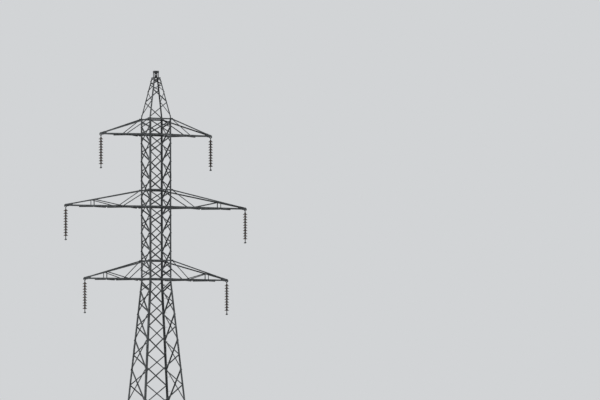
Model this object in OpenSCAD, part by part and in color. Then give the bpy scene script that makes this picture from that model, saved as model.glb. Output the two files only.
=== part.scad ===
/* [Heights] */
// Height of the whole pylon above the ground
total_h = 26000; // [25900:10:26200]
// Vertical spacing of the crossarms
arm_pitch = 3860; // [3700:10:3950]
// Height of the peak above the top of the cage
peak_h = 2170; // [2050:10:2180]
// Height of the cap on the peak, with its ring
peak_cap_h = 360; // [330:5:400]

/* [Body] */
// Half width of the body at the ground, over the leg corners
base_half = 1900; // [1700:10:2200]
// Half width of the parallel cage
cage_half = 620; // [550:5:700]
// Half width of the peak under its cap
peak_half = 177; // [170:1:200]

/* [Crossarms] */
// Reach of the top crossarm from the centre of the body
top_reach = 3180; // [3000:10:3400]
// Reach of the middle crossarm
mid_reach = 5200; // [5000:10:5400]
// Reach of the bottom crossarm
low_reach = 4110; // [3900:10:4300]
// Depth of the top crossarm at the body
top_depth = 840; // [800:10:900]
// Depth of the middle crossarm at the body
mid_depth = 900; // [850:10:950]
// Depth of the bottom crossarm at the body
low_depth = 990; // [900:10:1050]

/* [Angle sections] */
// Width of the lower leg angles
leg_w = 100; // [90:1:120]
// Thickness of the lower leg angles
leg_t = 10; // [8:1:12]
// Width of the cage leg angles
cage_w = 90; // [80:1:100]
// Thickness of the cage leg angles
cage_t = 8; // [6:1:10]
// Width of the peak leg angles
peak_w = 60; // [55:1:70]
// Thickness of the peak leg angles
peak_t = 6; // [5:1:8]
// Width of the bracing angles of the lower body
brace_w = 60; // [50:1:65]
// Width of the bracing angles of the cage
web_w = 58; // [50:1:60]
// Width of the horizontal angles of the cage at the arm chords
level_tie_w = 75; // [65:1:80]
// Width of the bracing angles of the arms and peak
tie_w = 45; // [40:1:50]
// Thickness of all the bracing angles
brace_t = 5; // [4:1:6]
// Width of the bottom chord angles of the arms
chord_w = 75; // [70:1:80]
// Width of the top chord angles of the arms
boom_w = 65; // [60:1:70]
// Thickness of the chord angles
chord_t = 6; // [5:1:8]

/* [Insulators] */
// Number of discs in a string
disc_n = 10; // [8:1:10]
// Spacing of the discs
disc_pitch = 146; // [140:1:150]
// Diameter of a disc
disc_d = 254; // [240:1:260]
// Diameter of the conductor that the clamps hold
wire_d = 19.6; // [18:0.1:22]

/* [Footings] */
// Width of each concrete footing
foot_w = 600; // [500:10:700]
// Height of each footing above the ground
foot_h = 300; // [200:10:400]

/* [Hidden] */
// The footings' centres lie this far inside the leg corners; their top edges are chamfered
foot_in = 30;
foot_chamfer = 50;
// Working gap at every bolted seat between two pieces
gap = 0.3;
// Radius of the bolt and packing where two crossed bars pass, and how far it stands past them
cross_bolt_r = 14;
cross_bolt_end = 10;
// Centre of a chord flange from its heel
chord_c = chord_w / 2;
boom_c = boom_w / 2;
// Parts of one solid run this far into each other
weld = 1;
// Clearances of the chord ends from the legs, from each other and from the middle plane
leg_clear = 2;
chord_clear = 3;
middle_clear = 2;
// Half height of the lap plates that bolt the chords to the legs, and their reach each way
lap_half = chord_c + 9.5;
lap_t = 8;
lap_leg = cage_w - 8;
lap_arm = 110;
// A lap plate starts this far behind the corner, this far off the steel, and is stepped in on the leg
lap_behind = 20;
lap_off = 0.5;
lap_step = 2;
// Packing from lap plate to chord: its margins at the body, at the far end and at the sides
pack_start = 8;
pack_end = 12;
pack_side = 22;
pack_in = 3;
pack_out = 2;
// Distance of the bracing ends from the centre of a chord
arm_e = lap_half + web_w / 2 + 18;
side_e = 205;
// Arms shorter than this have one web bar a side
short_arm = 3500;
// Feet and upright of the web bars, as shares of the way from the tip to the body
short_foot = 0.52;
web_upright = 0.335;
web_foot = 0.68;
// Height of the web points at the tip, and distance of the last bar's end from the leg corner
web_rise = 40;
web_root = 75;
// Turning points of the zigzag in plan, as shares of the way from the tip to the body
short_zigzag = [0.93, 0.6, 0.3];
long_zigzag = [0.95, 0.75, 0.54, 0.335, 0.17];
zigzag_in = 4;
// Distance of a lacing bar's end from its panel point, so that neighbours don't meet
end_gap = 24;
// Flat bars of the plan bracing
plan_w = 50;
plan_t = 8;
// The plan frames stay this clear of the side crosses and of the ties they lie on
plan_end_clear = 6;
plan_edge_clear = 1;
// Distance from the outermost chords to the ends of the cage, and of the lower bracing under it
cage_end = 60;
lower_end = 60;
// Ends of the cage, counted down from the top; the lower body takes up the rest of the height
peak_z1 = total_h - peak_cap_h;
cage_z1 = peak_z1 - peak_h;
arm_z = cage_z1 - cage_end - top_depth - 2 * arm_pitch;
cage_z0 = arm_z - cage_end;
taper = (base_half - cage_half) / cage_z0;
peak_taper = (cage_half - peak_half) / peak_h;
levels = [arm_z, arm_z + arm_pitch, arm_z + 2 * arm_pitch];
depths = [low_depth, mid_depth, top_depth];
reaches = [low_reach, mid_reach, top_reach];
// Height of the lowest panel point above the footings
foot_brace = 200;
// Panel points of the front and back faces, as shares of the lower body and of the peak
lower_shares = [0, 0.1784, 0.3394, 0.4829, 0.6102, 0.7229, 0.8293, 0.9181];
lower_z = [for (f = lower_shares) lerp(foot_h + foot_brace, cage_z0, f)];
peak_front_shares = [0.0138, 0.3917, 0.7051, 0.8295, 0.9263, 0.9862];
peak_side_shares = [0.0461, 0.4147, 0.6498, 0.7972, 0.9078, 0.9816];
// Half width of a crossarm at its tip, over the bottom chords
tip_half = 48;
// Flat plate at the tip: its reach outwards and inwards from the pin, its overhang and thickness
tip_out = 80;
tip_in = 170;
tip_over = 12;
tip_t = 12;
// Height of the top chord's heel at this distance short of the tip
tip_rise = 70;
tip_back = 60;
// Side gussets at the tip: how far they sink into the chords and stand out of them
gusset_in = 3;
gusset_out = 8;
// Their margins under the bottom chord and over the top one, and their reach past the chords' meeting
gusset_under = 3;
gusset_over = 7;
gusset_foot = 30;
gusset_reach = 110;
gusset_slant = 15;
// Their nose: its height, its distance from the end of the flat plate, and where its top begins
gusset_nose = 20;
gusset_short = 12;
gusset_brow = 10;
// Suspension point of a string, below the centre of the bottom chords
hang_drop = 120;
hang_pin_r = 11;
hang_pin_len = 80;
pin_head_r = 18;
pin_head_h = 12;
pin_clear = 0.08;
hang_gap = 20;
// Hanger plates: thickness, half width and depth of the head, and radius round the pin
hang_t = 10;
hang_head = 80;
hang_shoulder = 30;
hang_waist = 26;
hang_r = 28;
// Opening in a hanger plate: half widths, and margins under the head and over the pin
window_top = 34;
window_low = 10;
window_under = 18;
window_over = 24;
// Eyes that swing on the pins, and the flat links under them
eye_r = 26;
eye_t = 16;
link_w = 28;
link_top = 10;
strap_w = 24;
// Insulator string, measured down from its pin
disc_top = 135;
cap_h = 88;
cap_r = 48;
stem_r = 12;
// Socket under the last pin
socket_h = 44;
// Clamp of the conductor; the wire lies this far below the place where one more disc would sit
clamp_drop = 110;
wire_drop = disc_top + disc_n * disc_pitch + clamp_drop;
clamp_len = 280;
clamp_r = 36;
clamp_core = 20;
// Earth wire clamp in the peak cap
cap_half = 118;
cap_plate_t = 10;
cap_rim = 110;
cap_rim_over = 7;
lug_head = 45;
lug_waist = 22;
earth_pin_len = 60;
cap_post_w = 45;
cap_post_t = 6;
cap_ring_t = 10;
cap_ring_over = 15;
cap_ring_in = 50;
cap_ring_rim = 25;
cap_ring_rim_t = 6;
earth_pin_down = 140;
earth_pin_z = total_h - earth_pin_down;
// The clamp hangs this far above the cap's foot
earth_clear = 55;
earth_drop = peak_cap_h - earth_pin_down - earth_clear;
earth_len = 140;
earth_r = 24;
earth_core = 16;
earth_wire_d = 14;
steel = "#8b8f90";
dark_steel = "#5f6366";
porcelain = "#4a3226";
concrete = "#a9a69c";

function unit(v) = v / norm(v);
function mid(a, b) = (a + b) / 2;
function lerp(a, b, f) = a + (b - a) * f;

// Frame of a bar from p to q on a face with outward normal n: x across it in the face, y out of it
module on_face(p, q, n) {
    d = unit(q - p);
    m = cross(n, d);
    multmatrix([
        [m[0], n[0], d[0], p[0]],
        [m[1], n[1], d[1], p[1]],
        [m[2], n[2], d[2], p[2]],
        [0, 0, 0, 1]
    ]) children();
}

// Plate on a face: x0..x1 across, y0..y1 along the normal, from p to q
module plate(p, q, n, x0, x1, y0, y1) {
    on_face(p, q, n) translate([x0, y0, 0]) cube([x1 - x0, y1 - y0, norm(q - p)]);
}

// Angle bar whose flat flange is centred on p..q; it lies from y0 outwards, or inwards when way is -1
module angle_bar(p, q, n, w, t, y0, way) {
    on_face(p, q, n)
    linear_extrude(norm(q - p))
    polygon([for (c = [[0, 0], [w, 0], [w, t], [t, t], [t, w], [0, w]]) [c[0] - w / 2, y0 + way * c[1]]]);
}

// Corner leg of the front left corner, between two levels with half widths h0 and h1
module corner_leg(z0, z1, h0, h1, w, t) {
    k = (h0 - h1) / (z1 - z0);
    // the bar is made longer and cut square at both ends
    run = 40;
    spare = 60;
    a = [-h0 - k * run, -h0 - k * run, -run];
    b = [-h1 + k * run, -h1 + k * run, z1 - z0 + run];
    d = unit(b - a);
    // the two flanges follow the two faces of the body, which meet a little off square
    e_front = cross(d, unit([0, -1, k]));
    e_up = cross(d, e_front);
    e_side = cross(unit([-1, 0, k]), d);
    f1 = [1, 0];
    f2 = [e_side * e_front, e_side * e_up];
    translate([0, 0, z0])
    intersection() {
        multmatrix([
            [e_front[0], e_up[0], d[0], a[0]],
            [e_front[1], e_up[1], d[1], a[1]],
            [e_front[2], e_up[2], d[2], a[2]],
            [0, 0, 0, 1]
        ])
        linear_extrude(norm(b - a))
        polygon([[0, 0], w * f1, w * f1 + t * f2, t * f1 + t * f2, t * f1 + w * f2, w * f2]);
        translate([-h0 - spare, -h0 - spare, 0])
            cube([h0 - h1 + w + 2 * spare, h0 - h1 + w + 2 * spare, z1 - z0]);
    }
}

// Puts a front left corner piece at one of the four corners
module at_corner(sx, sy) {
    mirror([sx > 0 ? 1 : 0, 0, 0]) mirror([0, sy > 0 ? 1 : 0, 0]) children();
}

// Crossed bracing of one panel of the front face: one angle outside the leg flanges, one inside
module cross_panel(z0, z1, h0, h1, leg, leg_thick, w) {
    k = (h0 - h1) / (z1 - z0);
    n = unit([0, -1, k]);
    b0 = h0 - leg / 2;
    b1 = h1 - leg / 2;
    zc = (z1 - z0) * b0 / (b0 + b1);
    c = [0, -h0 + k * zc, zc];
    inner = -leg_thick - gap;
    translate([0, 0, z0]) {
        angle_bar([-b0, -h0, 0], [b1, -h1, z1 - z0], n, w, brace_t, gap, 1);
        angle_bar([b0, -h0, 0], [-b1, -h1, z1 - z0], n, w, brace_t, inner, -1);
        translate(c) on_face([0, 0, 0], [0, 0, 1], n)
            rotate([90, 0, 0])
            translate([0, 0, -gap - brace_t - cross_bolt_end])
            cylinder(r = cross_bolt_r, h = leg_thick + 2 * (gap + brace_t + cross_bolt_end), $fn = 24);
    }
}

// Horizontal angle across the front face, inside the leg flanges
module face_tie(z, h, leg_thick, reach) {
    translate([0, 0, z])
        angle_bar([reach, -h, 0], [-reach, -h, 0], [0, -1, 0], level_tie_w, brace_t, -leg_thick - gap, -1);
}

function lower_half(z) = cage_half + (cage_z0 - z) * taper;
function peak_half_at(z) = cage_half - (z - cage_z1) * peak_taper;

// Bracing of one face of the lower body, between the panel points in zs
module lower_face(zs) {
    for (i = [0 : len(zs) - 2])
        cross_panel(zs[i], zs[i + 1], lower_half(zs[i]), lower_half(zs[i + 1]), leg_w, leg_t, brace_w);
}

// Bracing of one face of the cage: pairs of panel ends in spans, ties at the levels in ties
module cage_face(spans, ties, reach) {
    for (s = spans)
        cross_panel(s[0], s[1], cage_half, cage_half, cage_w, cage_t, web_w);
    for (z = ties)
        face_tie(z, cage_half, cage_t, reach);
}

// Panel points of the front face of the cage, and the ends of each panel there
cage_nodes = [
    for (i = [0 : 2])
        for (z = i == 2
            ? [levels[2], levels[2] + top_depth]
            : [levels[i], levels[i] + depths[i],
               lerp(levels[i] + depths[i], levels[i + 1], 0.343),
               lerp(levels[i] + depths[i], levels[i + 1], 0.69)])
            z
];
tie_levels = [for (i = [0 : 2]) for (z = [levels[i], levels[i] + depths[i]]) z];
function is_tie(z) = len([for (t = tie_levels) if (abs(t - z) < 1) t]) > 0;
front_spans = [
    for (i = [0 : len(cage_nodes) - 2])
        [cage_nodes[i] + (is_tie(cage_nodes[i]) ? arm_e : 0),
         cage_nodes[i + 1] - (is_tie(cage_nodes[i + 1]) ? arm_e : 0)]
];
// The side faces have their panel points half way between those of the front
side_nodes = concat(
    [cage_nodes[0] + side_e],
    [for (i = [0 : len(cage_nodes) - 2]) mid(cage_nodes[i], cage_nodes[i + 1])],
    [cage_nodes[len(cage_nodes) - 1] - side_e]
);
side_spans = [for (i = [0 : len(side_nodes) - 2]) [side_nodes[i], side_nodes[i + 1]]];
lower_front = concat(lower_z, [cage_z0 - lower_end]);
lower_side = concat(
    [lower_z[0] + side_e],
    [for (i = [0 : len(lower_z) - 2]) mid(lower_z[i], lower_z[i + 1])],
    [mid(lower_z[len(lower_z) - 1], cage_z0), cage_z0 - side_e]
);

// Single lacing of one face of the peak, through panel points that alternate sides
module peak_lacing(zs, first) {
    n = unit([0, -1, peak_taper]);
    for (i = [0 : len(zs) - 2]) {
        s = (i % 2 == 0 ? 1 : -1) * first;
        z0 = zs[i] + end_gap;
        z1 = zs[i + 1] - end_gap;
        h0 = peak_half_at(z0);
        h1 = peak_half_at(z1);
        translate([0, 0, z0])
            angle_bar([s * (h0 - peak_w / 2), -h0, 0], [-s * (h1 - peak_w / 2), -h1, z1 - z0],
                      n, tie_w, brace_t, gap, 1);
    }
}

// Chord angle with its heel on p..q: one flange in the face (up or down), one inwards
module chord_bar(p, q, n, w, up) {
    on_face(p, q, n)
    linear_extrude(norm(q - p))
    polygon([[0, 0], [up * w, 0], [up * w, -chord_t], [up * chord_t, -chord_t], [up * chord_t, -w], [0, -w]]);
}

// Bottom and top chords of one side of a right hand arm, level 0 at the centre of the bottom chords
module arm_side(reach, depth) {
    p = [cage_half, -cage_half, 0];
    d = unit([reach - cage_half, cage_half - tip_half, 0]);
    n = [d[1], -d[0], 0];
    q = [reach, -tip_half, 0];
    // both chords start clear of the leg's side flange; the top one slopes, so its flange reaches back
    start = (leg_clear + chord_w * d[1]) / d[0];
    start_top = start + boom_w * (depth + boom_c - tip_rise) / norm(q - p) + chord_clear;
    // the top chord aims at a point over the tip and ends where it meets the bottom chord
    slope = (depth + boom_c - tip_rise) / (norm(q - p) - start_top - tip_back);
    run = tip_back + (chord_c + boom_w + chord_clear - tip_rise) / slope;
    function heel(s) = tip_rise + slope * (s - tip_back);
    tip_top = q - d * run + [0, 0, heel(run)];
    // both chords stop short of the middle plane, where the other side's chords come in
    intersection() {
        union() {
            chord_bar(p + d * start - [0, 0, chord_c], q - [0, 0, chord_c], n, chord_w, 1);
            chord_bar(p + d * start_top + [0, 0, depth + boom_c], tip_top, n, boom_w, -1);
        }
        translate([0, -2 * cage_half, -chord_w])
            cube([reach + tip_out, 2 * cage_half - middle_clear, depth + 3 * chord_w]);
    }
    // side gusset that holds the ends of both chords
    low_edge = -chord_c - gusset_under;
    nose = tip_out - gusset_short;
    far = run + gusset_reach;
    multmatrix([[d[0], 0, n[0], q[0]], [d[1], 0, n[1], q[1]], [0, 1, 0, 0], [0, 0, 0, 1]])
        translate([0, 0, -gusset_in])
        linear_extrude(gusset_in + gusset_out)
        polygon([[-run - gusset_foot, low_edge], [nose, low_edge], [nose, gusset_nose],
                 [gusset_brow, tip_rise], [-tip_back, heel(tip_back) + gusset_over],
                 [-far, heel(far) + gusset_over], [-far - gusset_slant, chord_c + gusset_nose]]);
    // lap plates on to the leg, packed out to the chords
    for (z = [0, depth])
        translate([0, 0, z]) {
            plate(p - d * lap_behind, p + d * lap_arm, n, -lap_half, lap_half, lap_off, lap_t);
            plate(p + d * (start + pack_start), p + d * (lap_arm - pack_end), n,
                  -lap_half + pack_side, lap_half - pack_side, -pack_in, pack_out);
            translate([cage_half - lap_leg, -cage_half - lap_t, -lap_half + lap_step])
                cube([lap_leg - 2 * lap_step, lap_t - gap, 2 * (lap_half - lap_step)]);
        }
}

// Outline of one hanger plate, its pin at 0, -hang_drop
module hanger_outline() {
    head = -chord_c - tip_t / 2;
    shoulder = -chord_c - hang_shoulder;
    difference() {
        union() {
            polygon([[-hang_head, head], [hang_head, head], [hang_head, shoulder], [hang_waist, -hang_drop],
                     [-hang_waist, -hang_drop], [-hang_head, shoulder]]);
            translate([0, -hang_drop]) circle(r = hang_r, $fn = 40);
        }
        polygon([[-window_top, -chord_c - window_under], [window_top, -chord_c - window_under],
                 [window_low, -hang_drop + window_over], [-window_low, -hang_drop + window_over]]);
    }
}

// Plates, hanger and pin at the tip of a right hand arm
module arm_tip(reach) {
    translate([reach, 0, 0]) {
        // flat plate under the chords
        translate([-tip_in, -tip_half - tip_over, -chord_c + weld - tip_t])
            cube([tip_in + tip_out, 2 * (tip_half + tip_over), tip_t]);
        // two hanger plates
        for (s = [-1, 1])
            translate([0, s * (hang_gap + hang_t) / 2, 0])
            rotate([90, 0, 0])
            linear_extrude(hang_t, center = true) hanger_outline();
        // pin with its head and nut
        translate([0, 0, -hang_drop]) rotate([90, 0, 0]) {
            cylinder(r = hang_pin_r, h = hang_pin_len, center = true, $fn = 40);
            for (s = [-1, 1])
                translate([0, 0, s * (hang_gap / 2 + hang_t - weld + pin_head_h / 2)])
                cylinder(r = pin_head_r, h = pin_head_h, center = true, $fn = 6);
        }
    }
}

module arm_chords(i) {
    arm_side(reaches[i], depths[i]);
    mirror([0, 1, 0]) arm_side(reaches[i], depths[i]);
    arm_tip(reaches[i]);
}

// Web bracing of one side of a right hand arm, through points at fractions of the way from the tip
module arm_web(reach, depth) {
    p = [cage_half, -cage_half, 0];
    q = [reach, -tip_half, 0];
    d = unit(q - p);
    n = [d[1], -d[0], 0];
    function low(f) = lerp(q, p, f);
    function high(f) = low(f) + [0, 0, lerp(web_rise, depth, f)];
    root = p + d * web_root + [0, 0, depth * (1 - web_root / norm(q - p))];
    inner = -chord_t - gap;
    if (reach < short_arm) {
        angle_bar(low(short_foot), root, n, tie_w, brace_t, inner, -1);
    } else {
        angle_bar(low(web_upright), high(web_upright), n, tie_w, brace_t, inner, -1);
        angle_bar(high(web_upright), low(web_foot), n, tie_w, brace_t, gap, 1);
        angle_bar(low(web_foot), root, n, tie_w, brace_t, inner, -1);
    }
}

// Zigzag in plan under the bottom chords of a right hand arm, and a cross bar next to the body
module arm_plan(reach) {
    fs = reach < short_arm ? short_zigzag : long_zigzag;
    z = -chord_c - gap;
    down = [0, 0, -1];
    // place next to a chord at this reach, on side s
    function edge(x, s) =
        [x, s * (lerp(tip_half, cage_half, (reach - x) / (reach - cage_half)) - chord_c - zigzag_in), z];
    function at(f) = lerp(reach, cage_half, f);
    module bar(p, q) {
        angle_bar(p, q, down, tie_w, brace_t, 0, 1);
    }
    for (i = [0 : len(fs) - 2]) {
        s = i % 2 == 0 ? 1 : -1;
        bar(edge(at(fs[i]) + end_gap, s), edge(at(fs[i + 1]) - end_gap, -s));
    }
    cross_x = at(fs[0]) - 2 * end_gap;
    bar(edge(cross_x, -1), edge(cross_x, 1));
}

module arm_bracing(i) {
    arm_web(reaches[i], depths[i]);
    mirror([0, 1, 0]) arm_web(reaches[i], depths[i]);
    arm_plan(reaches[i]);
}

// Puts a right hand piece of arm i on its side of the pylon
module on_arm(i, side) {
    translate([0, 0, levels[i]]) mirror([side < 0 ? 1 : 0, 0, 0]) children();
}

// One porcelain disc with its three under ribs, top of its skirt at 0
module disc_shell() {
    r = disc_d / 2;
    rotate_extrude($fn = 64)
    polygon([
        [stem_r + gap, -gap], [cap_r + 6, -gap], [r * 0.72, -13], [r * 0.92, -26], [r, -42],
        [r - 2, -50], [r - 10, -50], [r - 15, -34],
        [r * 0.76, -30], [r * 0.74, -54], [r * 0.68, -54], [r * 0.65, -28],
        [r * 0.55, -24], [r * 0.53, -50], [r * 0.47, -50], [r * 0.44, -24],
        [r * 0.33, -24], [r * 0.28, -36], [stem_r + gap, -36]
    ]);
}

module discs(i, side) {
    color(porcelain)
    translate([side * reaches[i], 0, levels[i] - hang_drop])
    for (k = [0 : disc_n - 1])
        translate([0, 0, -disc_top - k * disc_pitch]) disc_shell();
}

// Eye bored for a pin at 0, with a flat link of this width that hangs from it down to this depth
module eye_and_link(r, width, top, depth) {
    difference() {
        union() {
            rotate([90, 0, 0]) cylinder(r = r, h = eye_t, center = true, $fn = 48);
            translate([-width / 2, -eye_t / 2, -depth]) cube([width, eye_t, depth - top]);
        }
        rotate([90, 0, 0]) cylinder(r = hang_pin_r + pin_clear, h = 3 * eye_t, center = true, $fn = 48);
    }
}

// Metal parts of one string: top link, caps and pins, bottom socket and suspension clamp
module fittings(i, side) {
    foot = -disc_top - disc_n * disc_pitch + cap_h;
    color(dark_steel)
    translate([side * reaches[i], 0, levels[i] - hang_drop]) {
        eye_and_link(eye_r, link_w, link_top, disc_top - cap_h + 4 * weld);
        for (k = [0 : disc_n - 1])
            translate([0, 0, -disc_top - k * disc_pitch]) cap_and_pin();
        translate([0, 0, foot - socket_h + 4 * weld]) cylinder(r = eye_r, h = socket_h, $fn = 32);
        translate([-strap_w / 2, -eye_t / 2, -wire_drop + clamp_core])
            cube([strap_w, eye_t, foot - socket_h / 2 + wire_drop - clamp_core]);
        translate([0, 0, -wire_drop]) wire_clamp(clamp_len, clamp_r, wire_d);
    }
}

// Iron cap above a disc and the pin below it
module cap_and_pin() {
    rotate_extrude($fn = 40)
    polygon([
        [0, 0], [cap_r, 0], [cap_r, 14], [cap_r - 6, 46], [cap_r - 18, 70], [cap_r - 22, cap_h], [0, cap_h]
    ]);
    translate([0, 0, -disc_pitch + cap_h - 2 * weld])
        cylinder(r = stem_r, h = disc_pitch - cap_h + 4 * weld, $fn = 24);
}

// Boat shaped clamp along the line: slim ends, a full middle and a keeper on top of the wire
module wire_clamp(len, r, wire) {
    difference() {
        union() {
            rotate([90, 0, 0]) cylinder(r = r * 0.72, h = len, center = true, $fn = 40);
            rotate([90, 0, 0]) cylinder(r = r, h = len / 2, center = true, $fn = 40);
            translate([-r * 0.6, -len * 0.22, 0]) cube([r * 1.2, len * 0.44, r * 1.4]);
        }
        rotate([90, 0, 0]) cylinder(r = wire / 2, h = 2 * len, center = true, $fn = 40);
    }
}

module footings() {
    color(concrete)
    for (sx = [-1, 1], sy = [-1, 1])
        translate([sx * (base_half - foot_in), sy * (base_half - foot_in), 0])
        difference() {
            translate([-foot_w / 2, -foot_w / 2, 0]) cube([foot_w, foot_w, foot_h]);
            for (a = [0 : 90 : 270])
                rotate([0, 0, a])
                translate([foot_w / 2, 0, foot_h])
                rotate([0, 45, 0])
                cube([foot_chamfer, foot_w * 1.2, foot_chamfer], center = true);
        }
}

module lower_legs() {
    z0 = foot_h + gap;
    z1 = cage_z0 - gap;
    color(steel)
    for (sx = [-1, 1], sy = [-1, 1])
        at_corner(sx, sy)
        corner_leg(z0, z1, lower_half(z0), lower_half(z1), leg_w, leg_t);
}

module cage_legs() {
    color(steel)
    for (sx = [-1, 1], sy = [-1, 1])
        at_corner(sx, sy)
        corner_leg(cage_z0, cage_z1, cage_half, cage_half, cage_w, cage_t);
}

module peak_legs() {
    color(steel)
    for (sx = [-1, 1], sy = [-1, 1])
        at_corner(sx, sy)
        corner_leg(cage_z1 + gap, peak_z1, cage_half, peak_half, peak_w, peak_t);
}

module lower_bracing(turn) {
    color(steel) rotate([0, 0, turn]) lower_face(turn % 180 == 0 ? lower_front : lower_side);
}

module cage_bracing(turn) {
    color(steel)
    rotate([0, 0, turn])
    if (turn % 180 == 0)
        cage_face(front_spans, tie_levels, cage_half - cage_t - 4);
    else
        cage_face(side_spans, [], 0);
}

module peak_bracing() {
    color(steel)
    for (turn = [0 : 90 : 270])
        rotate([0, 0, turn])
        peak_lacing([for (f = turn % 180 == 0 ? peak_front_shares : peak_side_shares)
                        lerp(cage_z1, peak_z1, f)], -1);
}

// Flat frame with crossed bars in plan, on the ties at the foot of each arm
module plan_bracing() {
    // half sizes outside and inside the edge bars; the sides stay clear of the side crosses
    xo = cage_half - cage_t - web_w - plan_end_clear;
    yo = cage_half - cage_t - brace_t - plan_edge_clear;
    xi = xo - plan_w;
    yi = yo - plan_w;
    reach = plan_w / 2 * norm([xi, yi]);
    side = [[reach / yi, 0], [xi, yi - reach / xi], [xi, reach / xi - yi]];
    end = [[0, reach / xi], [xi - reach / yi, yi], [reach / yi - xi, yi]];
    color(steel)
    for (z = levels)
        translate([0, 0, z + level_tie_w / 2 + gap])
        difference() {
            translate([-xo, -yo, 0]) cube([2 * xo, 2 * yo, plan_t]);
            for (turn = [0, 180])
                rotate([0, 0, turn])
                translate([0, 0, -1])
                linear_extrude(plan_t + 2) {
                    polygon(side);
                    polygon(end);
                }
        }
}

module peak_cap() {
    z0 = peak_z1 + gap;
    ring_out = peak_half + cap_ring_over;
    ring_in = cap_half - cap_ring_in;
    rim_in = ring_out - cap_ring_rim_t;
    post_z0 = z0 + cap_ring_t - weld;
    cap_out = cap_half + cap_rim_over;
    cap_in = cap_half - weld;
    color(steel) {
        // ring on the heads of the peak legs, with a rim that hangs round them
        translate([0, 0, z0])
        difference() {
            translate([-ring_out, -ring_out, -cap_ring_rim])
                cube([2 * ring_out, 2 * ring_out, cap_ring_t + cap_ring_rim]);
            translate([-rim_in, -rim_in, -2 * cap_ring_rim]) cube([2 * rim_in, 2 * rim_in, 2 * cap_ring_rim]);
            translate([-ring_in, -ring_in, -cap_ring_t]) cube([2 * ring_in, 2 * ring_in, 3 * cap_ring_t]);
        }
        // corner posts
        for (sx = [-1, 1], sy = [-1, 1])
            at_corner(sx, sy)
            translate([0, 0, post_z0])
            corner_leg(0, total_h - cap_plate_t / 2 - post_z0, cap_half, cap_half, cap_post_w, cap_post_t);
        // deep rim and top plate
        translate([0, 0, total_h - cap_rim])
        difference() {
            translate([-cap_out, -cap_out, 0]) cube([2 * cap_out, 2 * cap_out, cap_rim]);
            translate([-cap_in, -cap_in, -cap_plate_t]) cube([2 * cap_in, 2 * cap_in, cap_rim]);
        }
        // lugs and pin of the clamp
        for (s = [-1, 1])
            translate([0, s * (hang_gap + hang_t) / 2, 0])
            rotate([90, 0, 0])
            linear_extrude(hang_t, center = true)
            polygon([[-lug_head, total_h - cap_plate_t / 2], [lug_head, total_h - cap_plate_t / 2],
                     [lug_waist, earth_pin_z - lug_waist], [-lug_waist, earth_pin_z - lug_waist]]);
        translate([0, 0, earth_pin_z])
            rotate([90, 0, 0])
            cylinder(r = hang_pin_r, h = earth_pin_len, center = true, $fn = 40);
    }
}

module earth_wire_clamp() {
    color(dark_steel)
    translate([0, 0, earth_pin_z]) {
        eye_and_link(earth_r, strap_w, eye_t, earth_drop - earth_core);
        translate([0, 0, -earth_drop]) wire_clamp(earth_len, earth_r, earth_wire_d);
    }
}

footings();
lower_legs();
cage_legs();
peak_legs();
lower_bracing(0);  // lower_bracing_front
lower_bracing(180);  // lower_bracing_back
lower_bracing(-90);  // lower_bracing_left
lower_bracing(90);  // lower_bracing_right
cage_bracing(0);  // cage_bracing_front
cage_bracing(180);  // cage_bracing_back
cage_bracing(-90);  // cage_bracing_left
cage_bracing(90);  // cage_bracing_right
peak_bracing();
plan_bracing();
peak_cap();
earth_wire_clamp();
color(steel) on_arm(2, -1) arm_chords(2);  // top_left_arm_chords
color(steel) on_arm(2, 1) arm_chords(2);  // top_right_arm_chords
color(steel) on_arm(1, -1) arm_chords(1);  // middle_left_arm_chords
color(steel) on_arm(1, 1) arm_chords(1);  // middle_right_arm_chords
color(steel) on_arm(0, -1) arm_chords(0);  // bottom_left_arm_chords
color(steel) on_arm(0, 1) arm_chords(0);  // bottom_right_arm_chords
color(steel) on_arm(2, -1) arm_bracing(2);  // top_left_arm_bracing
color(steel) on_arm(2, 1) arm_bracing(2);  // top_right_arm_bracing
color(steel) on_arm(1, -1) arm_bracing(1);  // middle_left_arm_bracing
color(steel) on_arm(1, 1) arm_bracing(1);  // middle_right_arm_bracing
color(steel) on_arm(0, -1) arm_bracing(0);  // bottom_left_arm_bracing
color(steel) on_arm(0, 1) arm_bracing(0);  // bottom_right_arm_bracing
discs(2, -1);  // top_left_discs
discs(2, 1);  // top_right_discs
discs(1, -1);  // middle_left_discs
discs(1, 1);  // middle_right_discs
discs(0, -1);  // bottom_left_discs
discs(0, 1);  // bottom_right_discs
fittings(2, -1);  // top_left_string_fittings
fittings(2, 1);  // top_right_string_fittings
fittings(1, -1);  // middle_left_string_fittings
fittings(1, 1);  // middle_right_string_fittings
fittings(0, -1);  // bottom_left_string_fittings
fittings(0, 1);  // bottom_right_string_fittings
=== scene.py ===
"""Lattice transmission pylon: finishes, bolts, plates, climbing pegs and insulator strings
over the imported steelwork. All lengths are in metres, in the frame of the model."""
import math

import bpy
import numpy as np
from mathutils import Matrix


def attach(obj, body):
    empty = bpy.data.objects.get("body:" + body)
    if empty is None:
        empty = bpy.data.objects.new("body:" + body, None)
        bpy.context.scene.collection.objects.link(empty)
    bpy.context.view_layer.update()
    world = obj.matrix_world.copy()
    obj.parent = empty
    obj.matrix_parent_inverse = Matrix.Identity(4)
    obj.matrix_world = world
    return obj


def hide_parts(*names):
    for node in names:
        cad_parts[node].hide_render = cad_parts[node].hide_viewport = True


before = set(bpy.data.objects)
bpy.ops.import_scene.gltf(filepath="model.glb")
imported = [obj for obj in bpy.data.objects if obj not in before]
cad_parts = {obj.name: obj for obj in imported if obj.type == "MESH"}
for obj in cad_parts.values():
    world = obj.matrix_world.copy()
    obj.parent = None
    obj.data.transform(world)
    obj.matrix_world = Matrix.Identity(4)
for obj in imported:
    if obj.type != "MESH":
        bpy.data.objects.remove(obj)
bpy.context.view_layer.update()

# Driving sizes of the steelwork
TOTAL_H = 26.0
ARM_Z = 14.85
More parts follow.
